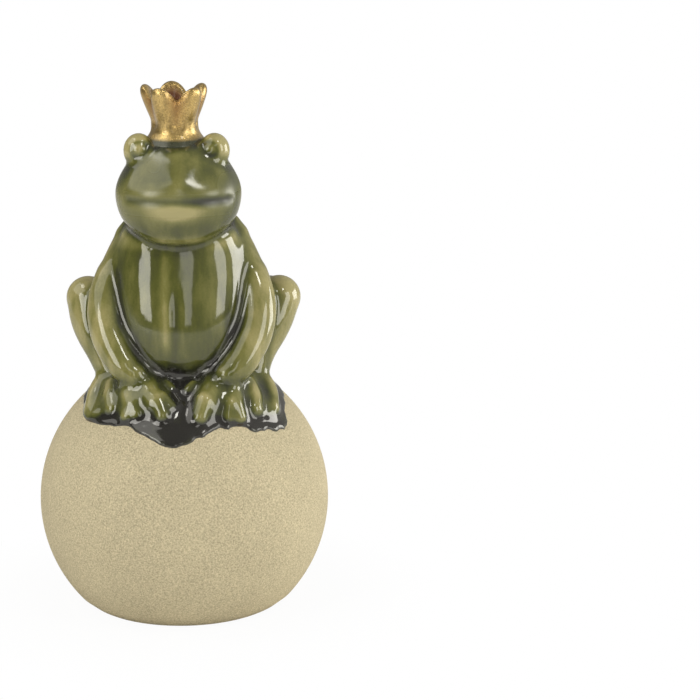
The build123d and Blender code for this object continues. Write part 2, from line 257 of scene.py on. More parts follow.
# Zones where the glaze is less glossy: how dull, edges and bumps
DULL_ZONES = (
    ("lips", 1.0, WIDE_FACE + (("side", 21, 17),), (("z", MOUTH_HEIGHT - 1, 6.0),)),
    ("left cheek", 1.0, WIDE_FACE + (("x", 11, 15),), (("z", MOUTH_HEIGHT + 5, 5.0),)),
    ("right brow", 0.9, WIDE_FACE, (("x", -7.5, 4.2), ("z", 155.0, 3.6))),
    ("edge of the pool", 1.0, (("reach", 50.55, 50.3),), ()),
)

# The pieces under one skin of glaze
CLAY_NODES = ("torso", "head", "glaze_pool") + tuple(
    f"{name}_{part}" for part in ("eye", "arm", "hand", "thigh", "shin", "foot") for name, _ in SIDES
)

# Rounds of smoothing in the creases, coarse then fine, the hollows in mm that they start and are full at,
# and the neck's crease, which keeps most of its depth
CREASE_ROUNDS = (45, 20)
CREASE_DEPTHS = (0.02, 0.28)
NECK_CREASE = (("z", 124, 127), ("z", 137, 134))
NECK_KEPT = 0.8

# Rounds of smoothing between the scales of a hollow, how much each darkens the glaze per mm, and the limit
CAVITY_SCALES = ((10, 0.55), (50, 0.32), (240, 0.12))
CAVITY_LIMIT = 1.2

# Rounds that blur the filling of creases, the sculpted skin, the glaze's depth and the borders of the pieces
CREASE_BLUR = 6
SCULPTED_BLUR = 2
GLAZE_BLUR = 3
BORDER_BLUR = 14

# An island of skin stays with its piece from this share of the piece's largest island on. Passing smaller
# ones on can make new islands, so it is done a few times over.
ISLAND_SHARE = 0.1
ISLAND_PASSES = 3

# In metres: wall of each cut piece of skin, how deep in the ball skin is dropped, and how deep the pool's
# underside lies
SKIN_WALL = 0.7 * MM
BURIED_DEPTH = 0.4 * MM
POOL_UNDERSIDE = 0.35 * MM

# The glaze pool's edge: turn from the front towards the frog's left, and tilt from the top, in degrees
POOL_EDGE = (
    (0, 54.6), (5, 53.0), (10.5, 51.5), (15, 49.5), (19, 47.8), (23, 48.3), (27, 48.2), (29, 46.4),
    (31, 45.2), (33.5, 45.3), (35, 48.4), (38, 50.6), (44, 52.0), (52, 52.8), (60, 54.8), (65.5, 52.5),
    (72, 48.0), (84, 45.0), (96, 44.0), (118, 40.0), (142, 43.0), (165, 40.5), (188, 42.5), (212, 40.0),
    (236, 43.0), (260, 41.5), (278, 43.5), (290, 45.2), (297, 46.6), (306, 48.2), (314, 48.8), (324, 48.0),
    (332, 46.8), (339, 49.2), (346, 51.6), (352, 53.8), (357, 55.2),
)
POOL_TURNS, POOL_RINGS = 240, 200
# Its rags: how many go round the ball and their size in degrees, their offset, and where they are larger
POOL_RAGS = ((29, 0.35), (53, 0.3), (83, 0.22), (131, 0.15))
RAG_OFFSET = 37
RAG_SIZE = 0.5
LARGE_RAGS = 1.2
LARGE_RAG_EDGES = ((2, 8), (68, 62))
# How wide the edge tapers in degrees, how far the cap sinks outside it and where it ends below, in mm
POOL_TAPER = 0.6
POOL_SINK = 1.6
POOL_FLOOR = 63.0

# Crown: its place, the turn of its first point, and how far the rim leans in and dips between points, in mm
CROWN_PLACE = (-1.0, -2.5, 161.0)
CROWN_FIRST_POINT = -28.0
CROWN_POINTS = 5
CROWN_LEAN = 0.9
CROWN_VALLEY = 4.6
# Powers that make its points round and its flutes narrow, and the flutes' depth
CROWN_ROUNDNESS = 0.45
FLUTE_NARROWNESS = 1.5
CROWN_FLUTE = 2.6
# Where its inside starts along the profile, where the glaze ends above its foot in mm, and its smoothing
CROWN_RIM = 0.5
CROWN_INSIDE = (0.53, 0.60)
CROWN_FOOT = (2.6, 0.8)
CROWN_BLUR = 12
CROWN_TURNS, CROWN_RINGS = 240, 128
# Way along its profile, radius, height and how much of the points it takes
CROWN_PROFILE = (
    (0.00, 0.0, -0.6, 0.0),
    (0.06, 10.8, -0.8, 0.0),
    (0.09, 11.0, -0.3, 0.0),
    (0.12, 10.2, 0.6, 0.0),
    (0.17, 8.4, 3.0, 0.0),
    (0.20, 8.0, 4.4, 0.05),
    (0.28, 8.1, 7.6, 0.35),
    (0.37, 10.1, 12.2, 0.75),
    (0.435, 11.5, 16.0, 1.0),
    (0.46, 11.7, 17.6, 1.0),
    (0.485, 11.3, 18.8, 1.0),
    (0.51, 10.3, 19.3, 1.0),
    (0.535, 8.9, 18.9, 1.0),
    (0.56, 8.0, 17.3, 1.0),
    (0.62, 7.3, 13.6, 0.7),
    (0.70, 7.2, 10.0, 0.3),
    (0.80, 6.7, 6.8, 0.0),
    (0.86, 5.8, 5.2, 0.0),
    (1.00, 0.0, 5.0, 0.0),
)

# Ball: steps round its profile, those of them on its outside, and turns
BALL_STEPS = 192
BALL_OUTSIDE_STEPS = 118
BALL_TURNS = 256
# The hollow, the rounding under the ball, the recess with its small fillet, the vent and the opening, in mm
HOLLOW_RADIUS = 45.5
HOLLOW_FLOOR = 6.0
FOOT_ROUNDING = ((34.6, 0.75), (33.6, 0.2), (32.4, 0.0), (30.0, 0.0))
FOOT_ROUNDING_TILT = 5.5
RECESS_RADIUS = 27.0
RECESS_DEPTH = 1.5
RECESS_FILLET = 0.2
RECESS_STEPS = (20.0, 12.0)
VENT_RADIUS = 4.0
FLOOR_STEP = 14.0
OPENING_RADIUS = 12.3
BALL_SHARPNESS = 35

# Glaze: cells to the metre of its runs, clouds and specks, how much depth each adds or takes away, and how
# long the runs are. A dull place has calmer runs and is rougher.
RUNS_CELLS, RUNS_DEPTH, RUNS_LENGTH = 190, 0.60, 0.22
CLOUDS_CELLS, CLOUDS_DEPTH = 55, 0.24
SPECKS_CELLS, SPECKS_DEPTH = 1500, 0.10
DULL_CALM = 0.45
GLAZE_ROUGHNESS, DULL_ROUGHNESS = 0.075, 0.30
GLAZE_REFRACTION = 1.65
# The depths at which it has the colours from thin to thick glaze
GLAZE_STOPS = (("thin", 0.14), ("middle", 0.36), ("body", 0.56), ("deep", 0.76), ("thick", 0.95))
# Its waves: cells to the metre, strength and height in metres
PEEL_CELLS, PEEL_STRENGTH, PEEL_HEIGHT = 160, 0.12, 0.6 * MM

# Stoneware: cells to the metre and contrast of its grains and stains, its darkest and palest grains, its pits
GRAIN_CELLS, GRAIN_CONTRAST = 1900, 2.2
STAIN_CELLS, STAIN_CONTRAST = 45, 0.35
DARK_GRAIN, PALE_GRAIN = 0.68, 1.40
PIT_CELLS = 520
GRAIN_RISE, PIT_RISE = 0.7, 0.5
STONE_BUMP, STONE_HEIGHT = 0.55, 0.5 * MM
STONE_ROUGHNESS, STONE_SHINE = 0.92, 0.25

# Gold: cells to the metre and contrast of its specks and streaks, and its middle, dark and pale grain
GOLD_SPECK_CELLS, GOLD_SPECK_CONTRAST = 1500, 1.8
STREAK_CELLS, STREAK_CONTRAST, STREAK_LENGTH = 330, 1.3, 0.3
GOLD_GRAIN, DARK_GOLD, PALE_GOLD = 0.6, 0.34, 1.15
# How much colour its folds take, and how the glaze at its foot ends in streaks
FOLD_COLOUR = 0.75
FOOT_COLOUR, FOOT_STREAKS, FOOT_START = 1.2, 0.4, 0.1
# How metallic it is, and how much less inside and at the foot, then its gloss and its grain's height
GOLD_METAL, INSIDE_METAL_LOST, FOOT_METAL_LOST = 0.9, 0.75, 0.8
GOLD_ROUGHNESS, GRAIN_GLOSS = 0.32, 0.06
GOLD_COAT, COAT_ROUGHNESS = 0.5, 0.08
GOLD_BUMP, GOLD_HEIGHT = 0.4, 0.3 * MM

# Stage: the floor in metres, how it fades to white away from the ball, and the light of the room by direction
FLOOR_SIZE = 12
FLOOR_GREY = 0.86
FLOOR_FADE = (0.045, 0.09, 0.95, 1.0)
BEHIND_LIGHT = (0.0, 0.8, 0.0, 0.15)
ABOVE_LIGHT = (0.35, 0.95, 0.0, 0.12)
RIGHT_LIGHT = (0.0, 0.9, 0.0, 0.42)
# Lamps by turn and rise in degrees, width, height and distance in metres, and brightness
DAYLIGHT = (1.0, 0.975, 0.90)
LAMP_TARGET = Vector((0, 0, 0.11))
LAMPS = (
    ("left window", -42, 20, 0.44, 0.80, 1.2, 4.7),
    ("front window", 3, 18, 0.18, 0.76, 1.2, 2.0),
    ("right window", 57, 17, 0.44, 0.76, 1.2, 3.9),
    ("right wall", 101, 8, 0.55, 0.55, 1.2, 6.4),
    ("left skylight", -75, 46, 1.40, 0.94, 1.3, 1.5),
    ("small skylight", -82, 66, 0.40, 0.26, 1.3, 4.0),
    ("top light", 44, 55, 0.21, 0.17, 1.3, 13.0),
)


class FrogClaySettings(bpy.types.PropertyGroup):
    """How the clay is fused and smoothed under its glaze."""

    grain: FloatProperty(
        name="Grain", description="Size of the clay's remeshed cells", default=0.00048, unit="LENGTH"
    )
    fillet: FloatProperty(
        name="Fillet", description="How far the glaze fills a crease", default=0.0006, unit="LENGTH"
    )
    smoothing: IntProperty(name="Smoothing", description="Rounds of smoothing", default=6)
    pool_thickness: FloatProperty(
        name="Pool thickness", description="Thickness of the glaze on the ball", default=0.0006, unit="LENGTH"
    )


class FrogFinishSettings(bpy.types.PropertyGroup):
    """The colours of the glaze, the lustre and the bare stoneware."""

    thin_glaze: FloatVectorProperty(
        name="Thin glaze", description="Colour on sharp ridges", default=(0.36, 0.32, 0.14), subtype="COLOR"
    )
    middle_glaze: FloatVectorProperty(
        name="Middle glaze", description="Colour on limbs", default=(0.175, 0.170, 0.050), subtype="COLOR"
    )
    body_glaze: FloatVectorProperty(
        name="Body glaze", description="Colour on open faces", default=(0.084, 0.090, 0.020), subtype="COLOR"
    )
    deep_glaze: FloatVectorProperty(
        name="Deep glaze", description="Colour in hollows", default=(0.036, 0.040, 0.018), subtype="COLOR"
    )
    thick_glaze: FloatVectorProperty(
        name="Thick glaze", description="Colour in creases", default=(0.020, 0.019, 0.017), subtype="COLOR"
    )
    stoneware: FloatVectorProperty(
        name="Stoneware", description="Colour of the bare ball", default=(0.49, 0.43, 0.292), subtype="COLOR"
    )
    gold: FloatVectorProperty(
        name="Gold", description="Colour of the lustre", default=(0.63, 0.445, 0.165), subtype="COLOR"
    )
    gold_folds: FloatVectorProperty(
        name="Gold folds", description="Colour of the lustre between the points", default=(0.25, 0.115, 0.03),
        subtype="COLOR"
    )
    cup_inside: FloatVectorProperty(
        name="Cup inside", description="Colour inside the crown", default=(0.16, 0.055, 0.018),
        subtype="COLOR"
    )


class FrogStudioSettings(bpy.types.PropertyGroup):
    """The lamps and the room."""

    lamp_strength: FloatProperty(name="Lamp strength", description="Brightness of all the lamps", default=1.0)
    fill: FloatProperty(name="Fill", description="Brightness of the room", default=0.11)


class Wire:
    """A shader socket that takes part in sums."""

    def __init__(self, shader, socket):
        self.shader = shader
        self.socket = socket

    def _math(self, operation, *values):
        return self.shader.node("ShaderNodeMath", {"operation": operation}, *values)

    def __add__(self, other):
        return self._math("ADD", self, other)

    def __sub__(self, other):
        return self._math("SUBTRACT", self, other)

    def __rsub__(self, other):
        return self._math("SUBTRACT", other, self)

    def __mul__(self, other):
        return self._math("MULTIPLY", self, other)

    __radd__ = __add__
    __rmul__ = __mul__

    def clamp(self):
        """Hold the value between 0 and 1."""
        return self.shader.node("ShaderNodeClamp", {}, self)


class Shader:
    """A material's node tree, built by one method."""

    def __init__(self, tree):
        self.tree = tree
        tree.nodes.clear()

    def node(self, kind, settings, *values, out=0, **named):
        """Add a node, set it up, fill its sockets and return one of its outputs."""
        node = self.tree.nodes.new(kind)
        for name, value in settings.items():
            if name == "stops":
                ramp = node.color_ramp.elements
                while len(ramp) < len(value):
                    ramp.new(0.5)
                for element, (place, colour) in zip(ramp, value):
                    element.position = place
                    element.color = (*colour, 1)
            else:
                setattr(node, name, value)
        for index, value in list(enumerate(values)) + list(named.items()):
            key = index if isinstance(index, int) else index.replace("_", " ")
            if value is None:
                continue
            if isinstance(value, Wire):
                self.tree.links.new(value.socket, node.inputs[key])
            else:
                node.inputs[key].default_value = value
        return Wire(self, node.outputs[out]) if node.outputs else None

    def mix(self, share, first, second):
        """Mix two colours."""
        return self.node("ShaderNodeMix", {"data_type": "RGBA"}, share, *[None] * 5, first, second, out=2)

    def attribute(self, name):
        """Read a value that the mesh carries."""
        return self.node("ShaderNodeAttribute", {"attribute_name": name}, out="Fac")

    def noise(self, place, cells, detail, roughness=0.5):
        """Noise with so many cells to the metre."""
        return self.node(
            "ShaderNodeTexNoise", {}, Vector=place, Scale=cells, Detail=detail, Roughness=roughness
        )

    def bump(self, height, strength, distance):
        """Shading that follows a height."""
        return self.node(
            "ShaderNodeBump", {}, Strength=strength, Distance=distance, Height=height, out="Normal"
        )

    def scale_colour(self, colour, factor):
        """A colour made darker or lighter."""
        return (*(min(1, part * factor) for part in colour), 1)


def new_material(name):
    """Make an empty node material."""
    material = bpy.data.materials.new(name)
    material.use_nodes = True
    return material, Shader(material.node_tree)


def deselect():
    """Leave nothing selected."""
    for other in bpy.context.selected_objects:
        other.select_set(False)


def join(objects, name):
    """Join objects into one under a new name."""
    deselect()
    for piece in objects:
        piece.select_set(True)
    bpy.context.view_layer.objects.active = objects[0]
    if len(objects) > 1:
        bpy.ops.object.join()
    piece = bpy.context.object
    bpy.ops.object.transform_apply(location=True, rotation=True, scale=True)
    piece.name = name
    piece.data.name = name
    return piece


def lump(place, radius, scale=(1, 1, 1), along=None):
    """Add a ball of clay, squashed along an axis of its own."""
    deselect()
    turn = along.to_track_quat("Z", "Y").to_euler() if along else (0, 0, 0)
    bpy.ops.mesh.primitive_uv_sphere_add(
        segments=LUMP_TURNS, ring_count=LUMP_RINGS, radius=radius, location=place, rotation=turn, scale=scale
    )
    return bpy.context.object


def roll(points, radii):
    """Roll a limb of clay: a round curve through points, with round ends."""
    deselect()
    bpy.ops.curve.primitive_bezier_curve_add(location=(0, 0, 0))
    curve = bpy.context.object
    spline = curve.data.splines[0]
    spline.bezier_points.add(len(points) - len(spline.bezier_points))
    for knot, point, radius in zip(spline.bezier_points, points, radii):
        knot.co = point
        knot.handle_left_type = knot.handle_right_type = "AUTO"
        knot.radius = radius / max(radii)
    spline.resolution_u = LIMB_STEPS
    spline.radius_interpolation = "CARDINAL"
    curve.data.bevel_depth = max(radii)
    curve.data.bevel_resolution = LIMB_STEPS
    curve.data.use_fill_caps = True
    bpy.ops.object.convert(target="MESH")
    tube = bpy.context.object
    return [tube, lump(points[0], radii[0]), lump(points[-1], radii[-1])]


def potted(rings, squareness):
    """Throw a form of clay: a sphere whose level outlines follow a table of rings."""
    deselect()
    bpy.ops.mesh.primitive_uv_sphere_add(segments=FORM_TURNS, ring_count=FORM_RINGS, radius=1)
    form = bpy.context.object
    table = np.array(rings) * MM
    steps = np.linspace(0, 1, len(table))
    fine = np.linspace(0, 1, RING_STEPS)
    flat = np.ones(RING_BLUR) / RING_BLUR
    kernel = np.convolve(flat, flat)
    smooth = [
        np.convolve(np.pad(np.interp(fine, steps, column), RING_BLUR - 1, "edge"), kernel, "valid")
        for column in table.T
    ]
    for vertex in form.data.vertices:
        way = math.acos(max(-1, min(1, -vertex.co.z))) / math.pi
        height, middle, half_width, half_depth = (np.interp(way, fine, column) for column in smooth)
        round_in = min(1, math.sin(math.pi * way) * POLE_CLOSING)
        angle = math.atan2(vertex.co.y, vertex.co.x)
        power = 2 / squareness
        across = math.copysign(abs(math.cos(angle)) ** power, math.cos(angle))
        deep = math.copysign(abs(math.sin(angle)) ** power, math.sin(angle))
        vertex.co = (half_width * across * round_in, middle + half_depth * deep * round_in, height)
    return form


def ball_point(polar, azimuth, height):
    """A point above the ball, in a direction from its centre in degrees."""
    tilt, turn = math.radians(polar), math.radians(azimuth)
    direction = Vector((math.sin(tilt) * math.sin(turn), -math.sin(tilt) * math.cos(turn), math.cos(tilt)))
    return BALL_CENTRE + direction * (BALL_RADIUS + height)


def mirrored(stations, side, sway=0):
    """Points and radii of a limb on one side, in metres. Halfway down it may sway to the frog's right."""
    points = []
    for (x, y, z), _ in stations:
        swayed = sway * float(bump_of(z, SWAY_HEIGHT, SWAY_SPREAD))
        points.append(Vector((x * side + LIMB_SHIFT - swayed, y, z)) * MM)
    return points, [radius * MM for _, radius in stations]


def digits(table):
    """Lay digits on the ball, each sunk in it a little, highest at the root."""
    parts = []
    for directions, radii in table:
        points = []
        for index, ((polar, azimuth), radius) in enumerate(zip(directions, radii)):
            lift = ROOT_LIFT + (TIP_LIFT - ROOT_LIFT) * index / (len(radii) - 1)
            points.append(ball_point(polar, azimuth, radius * lift * MM))
        parts += roll(points, [radius * MM for radius in radii])
    return parts


def pad(polar, azimuth, radius, thickness):
    """A flat round pad of clay on the ball."""
    middle = ball_point(polar, azimuth, 0)
    return lump(middle, radius * MM, (1, 1, thickness / radius), middle - BALL_CENTRE)


def smoothed(places, edges, rounds, share=0.5):
    """Move each vertex towards the mean of its neighbours, some rounds over."""
    first, second = edges[:, 0], edges[:, 1]
    total = len(places)
    count = np.bincount(first, minlength=total) + np.bincount(second, minlength=total)
    for _ in range(rounds):
        mean = np.stack([
            np.bincount(first, places[second, axis], total) + np.bincount(second, places[first, axis], total)
            for axis in range(places.shape[1])
        ], axis=1) / count[:, None]
        places = places + share * (mean - places)
    return places


def read_mesh(mesh):
    """A mesh's places, normals and edges as arrays."""
    places = np.empty(len(mesh.vertices) * 3)
    mesh.vertices.foreach_get("co", places)
    normals = np.empty(len(mesh.vertices) * 3)
    mesh.vertices.foreach_get("normal", normals)
    edges = np.empty(len(mesh.edges) * 2, dtype=np.int32)
    mesh.edges.foreach_get("vertices", edges)
    return places.reshape(-1, 3), normals.reshape(-1, 3), edges.reshape(-1, 2)


def write_places(mesh, places):
    """Put a mesh's vertices at new places."""
    mesh.vertices.foreach_set("co", places.ravel())
    mesh.update()


def remesh(piece, cell):
    """Fuse a piece into one even skin."""
    deselect()
    piece.select_set(True)
    bpy.context.view_layer.objects.active = piece
    modifier = piece.modifiers.new("Skin", "REMESH")
    modifier.mode = "VOXEL"
    modifier.voxel_size = cell
    modifier.use_smooth_shade = True
    bpy.ops.object.modifier_apply(modifier=modifier.name)


def swell(piece, distance):
    """Push every vertex out along its normal."""
    places, normals, _ = read_mesh(piece.data)
    write_places(piece.data, places + normals * distance)


def bump_of(value, middle, width):
    """A soft bump along one direction."""
    return np.exp(-(((value - middle) / width) ** 2))


def ease(value, start, full):
    """Zero at a start, one where it is full, and smooth between, whichever of the two is larger."""
    share = np.clip((value - start) / (full - start), 0, 1)
    return share * share * (3 - 2 * share)


def skin_measures(places):
    """What zones of the skin are told apart by: places and distances in mm."""
    x, y, z = places.T / MM
    measures = {"x": x, "side": np.abs(x), "y": y, "z": z}
    measures["reach"] = np.linalg.norm(places - np.array(BALL_CENTRE), axis=1) / MM
    measures["mouth"] = np.abs(x - MOUTH_MIDDLE)
    measures["crown"] = np.hypot(x - CROWN_PLACE[0], y - CROWN_PLACE[1])
    for name, spots in (("eye", EYE_PLACES), ("pupil", PUPIL_PLACES)):
        away = [np.linalg.norm(places / MM - np.array(spot), axis=1) for spot in spots.values()]
        measures[name] = np.minimum(*away)
    return measures


def zone(measures, edges, bumps=()):
    """How much of a zone each vertex takes, from 0 to 1."""
    share = np.ones(len(measures["x"]))
    for name, start, full in edges:
        share *= ease(measures[name], start, full)
    for name, middle, width in bumps:
        share *= bump_of(measures[name], middle, width)
    return share


def melted(places, edges):
    """Melt the digits, the shoulders and the belly's foot, so that no sharp junction of clay shows."""
    for _, rounds, amount, soft_edges in MELTED_ZONES:
        share = amount * zone(skin_measures(places), soft_edges)
        places = places + share[:, None] * (smoothed(places, edges, rounds) - places)
    return places


def creases_filled(places, normals, edges, rounds):
    """Let the glaze run into the creases: a hollow is smoothed away more than the rest."""
    soft = smoothed(places, edges, rounds)
    hollow = ((soft - places) * normals).sum(axis=1) / MM
    spared = NECK_KEPT * zone(skin_measures(places), NECK_CREASE)
    share = smoothed((ease(hollow, *CREASE_DEPTHS) * (1 - spared))[:, None], edges, CREASE_BLUR)
    return places + share * (soft - places)


def sculpted(places, normals, edges):
    """Press the mouth, the eyes and the belly's groove into the soft skin, and raise the lips and snout."""
    measures = skin_measures(places)
    out = sum(height * zone(measures, soft_edges, bumps) for _, height, soft_edges, bumps in SCULPTED_ZONES)
    return smoothed(places + normals * (out * MM)[:, None], edges, SCULPTED_BLUR)


def glaze_depth_and_painted_light(places, normals, edges):
    """How deep the glaze lies: thin on ridges and limbs, thick in creases and low down, with painted shade on
    undersides and painted light and reflections in a few zones.
    """
    depth = np.full(len(places), OPEN_DEPTH)
    soft = places
    for rounds, weight in CAVITY_SCALES:
        soft = smoothed(soft, edges, rounds)
        hollow = ((soft - places) * normals).sum(axis=1) / MM
        depth += weight * np.clip(hollow, -CAVITY_LIMIT, CAVITY_LIMIT)
    measures = {**skin_measures(places), "up": normals[:, 2]}
    for _, change, soft_edges, bumps in GLAZE_ZONES:
        depth += change * zone(measures, soft_edges, bumps)
    return np.clip(smoothed(depth[:, None], edges, GLAZE_BLUR)[:, 0], 0, 1)


def dullness(places):
    """Where the glaze is less glossy, from 0 to 1."""
    measures = skin_measures(places)
    shares = [dull * zone(measures, soft_edges, bumps) for _, dull, soft_edges, bumps in DULL_ZONES]
    return np.max(shares, axis=0)


def pool_clay():
    """The glaze that ran onto the ball: a cap a little proud of it, with a ragged edge."""
    deselect()
    bpy.ops.mesh.primitive_uv_sphere_add(segments=POOL_TURNS, ring_count=POOL_RINGS, radius=1)
    cap = bpy.context.object
    thickness = bpy.context.scene.frog_clay.pool_thickness
    edge_turns = [turn for turn, _ in POOL_EDGE] + [POOL_EDGE[0][0] + 360]
    edge_tilts = [tilt for _, tilt in POOL_EDGE] + [POOL_EDGE[0][1]]
    for vertex in cap.data.vertices:
        direction = vertex.co.normalized()
        tilt = math.degrees(math.acos(max(-1, min(1, direction.z))))
        turn = math.degrees(math.atan2(direction.x, -direction.y)) % 360
        ragged = sum(size * math.sin(math.radians((turn + RAG_OFFSET) * count)) for count, size in POOL_RAGS)
        first, last = (float(ease(turn, *rag_edge)) for rag_edge in LARGE_RAG_EDGES)
        ragged *= RAG_SIZE + LARGE_RAGS * first * last
        edge = np.interp(turn, edge_turns, edge_tilts) + ragged
        share = float(ease(edge - tilt, -POOL_TAPER, POOL_TAPER))
        lift = thickness * share - POOL_SINK * MM * (1 - share)
        vertex.co = BALL_CENTRE + direction * (BALL_RADIUS + lift)
    bpy.ops.object.mode_set(mode="EDIT")
    bpy.ops.mesh.select_all(action="SELECT")
    bpy.ops.mesh.bisect(
        plane_co=(0, 0, POOL_FLOOR * MM), plane_no=(0, 0, 1), clear_inner=True, use_fill=True
    )
    bpy.ops.object.mode_set(mode="OBJECT")
    return cap


def owner_scores(places, edges, clay):
    """Which clay piece lies nearest to each vertex, softened along the skin."""
    corners, faces, owners = [], [], []
    for index, piece in enumerate(clay):
        start = len(corners)
        corners += [vertex.co.copy() for vertex in piece.data.vertices]
        faces += [[start + corner for corner in face.vertices] for face in piece.data.polygons]
        owners += [index] * len(piece.data.polygons)
    tree = BVHTree.FromPolygons(corners, faces)
    nearest = [owners[tree.find_nearest(Vector(place))[2]] for place in places]
    scores = np.zeros((len(places), len(clay)))
    scores[np.arange(len(places)), nearest] = 1
    return smoothed(scores, edges, BORDER_BLUR)


def islands_by_owner(owners, neighbours):
    """Each owner's islands of joined faces, the largest first."""
    islands = {}
    seen = np.zeros(len(owners), dtype=bool)
    for start in range(len(owners)):
        if seen[start]:
            continue
        seen[start] = True
        island = [start]
        for face in island:
            for other in neighbours[face]:
                if owners[other] == owners[start] and not seen[other]:
                    seen[other] = True
                    island.append(other)
        islands.setdefault(int(owners[start]), []).append(island)
    for group in islands.values():
        group.sort(key=lambda island: -len(island))
    return islands


def face_neighbours(mesh, face_of_corner):
    """The faces that share an edge with each face."""
    edge_of = np.empty(len(mesh.loops), dtype=np.int32)
    mesh.loops.foreach_get("edge_index", edge_of)
    order = np.argsort(edge_of, kind="stable")
    sorted_edges, sorted_faces = edge_of[order], face_of_corner[order]
    paired = np.flatnonzero(sorted_edges[:-1] == sorted_edges[1:])
    neighbours = [[] for _ in mesh.polygons]
    for one, other in zip(sorted_faces[paired].tolist(), sorted_faces[paired + 1].tolist()):
        neighbours[one].append(other)
        neighbours[other].append(one)
    return neighbours


def face_owners(mesh, scores, buried):
    """One owner for each face: small islands go to what surrounds them, buried faces and voids to nothing."""
    nothing = scores.shape[1]
    total = len(mesh.polygons)
    corners = np.empty(len(mesh.loops), dtype=np.int32)
    mesh.loops.foreach_get("vertex_index", corners)
    face_of = np.repeat(np.arange(total), [len(face.vertices) for face in mesh.polygons])
    sums = np.stack([np.bincount(face_of, column[corners], total) for column in scores.T], axis=1)
    owners = sums.argmax(axis=1)
    owners[np.bincount(face_of, ~buried[corners], total) == 0] = nothing
    neighbours = face_neighbours(mesh, face_of)
    for _ in range(ISLAND_PASSES):
        for owner, group in islands_by_owner(owners, neighbours).items():
            for island in group[1:] if owner != nothing else ():
                inside = set(island)
                around = [other for face in island for other in neighbours[face] if other not in inside]
                rim = [int(owners[other]) for other in around]
                if owner in rim or (rim and len(island) > ISLAND_SHARE * len(group[0])):
                    continue
                near = [found for found in rim if found != nothing]
                owners[island] = max(set(near), key=near.count) if near else nothing
    return owners


def back_with_shell(piece, inner_place):
    """Close a cut piece of skin with an inner wall, each of its points put where inner_place says."""
    form = bmesh.new()
    form.from_mesh(piece.data)
    layer = form.verts.layers.float_vector["skin_normal"]
    rim = [edge for edge in form.edges if edge.is_boundary]
    copied = bmesh.ops.duplicate(form, geom=form.faces[:])
    for item in copied["geom"]:
        if isinstance(item, bmesh.types.BMVert):
            item.co = inner_place(item.co, item[layer])
            item[layer] = -item[layer]
    inner_faces = [item for item in copied["geom"] if isinstance(item, bmesh.types.BMFace)]
    bmesh.ops.reverse_faces(form, faces=inner_faces)
    twin = {vertex: copied["vert_map"][vertex] for edge in rim for vertex in edge.verts}
    for edge in rim:
        first, second = (loop.vert for loop in (edge.link_loops[0], edge.link_loops[0].link_loop_next))
        form.faces.new((second, first, twin[first], twin[second]))
    form.to_mesh(piece.data)
    form.free()


def on_the_ball(place, normal):
    """Where the glaze on the ball ends under itself: just inside the ball's face."""
    return BALL_CENTRE + (place - BALL_CENTRE).normalized() * (BALL_RADIUS - POOL_UNDERSIDE)


def under_the_skin(place, normal):
    """The inner side of a cut piece of the frog's skin."""
    return place - normal * SKIN_WALL


def dress(piece, node, material):
    """Put a finished piece in place of its CAD node."""
    piece.name = node + "_skin"
    piece.data.name = piece.name
    piece.data.materials.clear()
    piece.data.materials.append(material)
    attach(piece, "root")
    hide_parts(node)


def ball_profile():
    """The ball's closed profile: outside from the opening to the foot, the vent, then the hollow back up."""
    def arc(radius, start, end, count):
        turns = np.linspace(math.radians(start), math.radians(end), count)
        return [(radius * math.sin(turn), BALL_MIDDLE + radius * math.cos(turn)) for turn in turns]

    outside = BALL_RADIUS / MM
    foot_tilt = 180 - math.degrees(math.acos(BALL_MIDDLE / outside))
    top_tilt = math.degrees(math.asin(OPENING_RADIUS / outside))
    hollow_top = math.degrees(math.asin(OPENING_RADIUS / HOLLOW_RADIUS))
    hollow_low = 180 - math.degrees(math.acos((BALL_MIDDLE - HOLLOW_FLOOR) / HOLLOW_RADIUS))
    points = arc(outside, top_tilt, foot_tilt - FOOT_ROUNDING_TILT, BALL_OUTSIDE_STEPS)
    points += [*FOOT_ROUNDING, (RECESS_RADIUS + RECESS_FILLET, 0.0), (RECESS_RADIUS, RECESS_FILLET)]
    points += [(radius, RECESS_DEPTH) for radius in (RECESS_RADIUS, *RECESS_STEPS, VENT_RADIUS)]
    points += [(VENT_RADIUS, HOLLOW_FLOOR), (FLOOR_STEP, HOLLOW_FLOOR)]
    hollow = arc(HOLLOW_RADIUS, hollow_low, hollow_top, BALL_STEPS - len(points))
    return points + hollow


def glaze_material(name, settings):
    """Glossy translucent glaze that breaks pale on ridges and pools dark in creases."""
    material, shader = new_material(name)
    place = shader.node("ShaderNodeTexCoord", {}, out="Object")
    # The glaze's depth, which also carries painted shade on undersides and painted light and reflections in a
    # few zones
    depth = shader.attribute("glaze")
    dull = shader.attribute("dull")
    runs_place = shader.node("ShaderNodeMapping", {}, place, Scale=(1, 1, RUNS_LENGTH))
    runs = shader.noise(runs_place, RUNS_CELLS, 3)
    clouds = shader.noise(place, CLOUDS_CELLS, 2)
    specks = shader.noise(place, SPECKS_CELLS, 2)
    uneven = (runs - 0.5) * (RUNS_DEPTH - dull * DULL_CALM) + (clouds - 0.5) * CLOUDS_DEPTH
    depth = (depth + uneven + (specks - 0.5) * SPECKS_DEPTH).clamp()
    colours = [getattr(settings, thickness + "_glaze") for thickness, _ in GLAZE_STOPS]
    stops = [(stop, colour) for (_, stop), colour in zip(GLAZE_STOPS, colours)]
    colour = shader.node("ShaderNodeValToRGB", {"stops": stops}, depth)
    peel = shader.noise(place, PEEL_CELLS, 1)
    bump = shader.bump(peel, PEEL_STRENGTH, PEEL_HEIGHT)
    skin = shader.node(
        "ShaderNodeBsdfPrincipled", {}, Base_Color=colour, Roughness=dull * DULL_ROUGHNESS + GLAZE_ROUGHNESS,
        IOR=GLAZE_REFRACTION, Normal=bump,
    )
    shader.node("ShaderNodeOutputMaterial", {}, skin)
    return material


